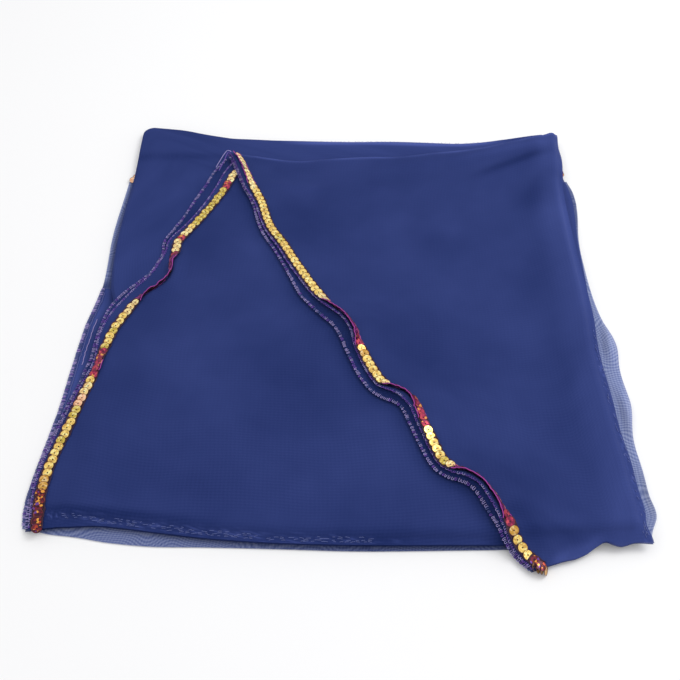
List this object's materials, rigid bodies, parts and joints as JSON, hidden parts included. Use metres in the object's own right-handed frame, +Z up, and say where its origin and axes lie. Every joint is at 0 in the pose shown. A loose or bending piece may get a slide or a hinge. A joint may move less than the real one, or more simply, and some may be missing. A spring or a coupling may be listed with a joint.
{
  "type": "folded chiffon shawl",
  "caption": "Sheer blue chiffon shawl with a gold sequin trim and overlocked hem, folded to a flat square pad and laid on a table.",
  "frame": {"origin": "on the table, under the middle of the folded shawl's outer sizes", "axes": "+X to the right, +Y from the front edge to the back edge, +Z up"},
  "size_m": [0.3878, 0.4216, 0.0186],
  "materials": {
    "chiffon": "fine matte crepe chiffon, navy to royal blue where it is many layers deep",
    "sheer_chiffon": "one see-through layer of the same chiffon",
    "gold_sequins": "metallised gold sequins with a holographic pink and green glint",
    "hem_thread": "overlock thread, lilac and purple"
  },
  "bodies": {
    "root": {"bottom_layer": "sheer_chiffon", "hidden_layers": "chiffon", "lower_stretch_under": "chiffon", "lower_stretch_top": "chiffon", "upper_stretch_under": "chiffon", "upper_stretch_top": "chiffon", "lower_sequin_trim": "gold_sequins", "upper_sequin_trim": "gold_sequins"}
  },
  "joints": []
}
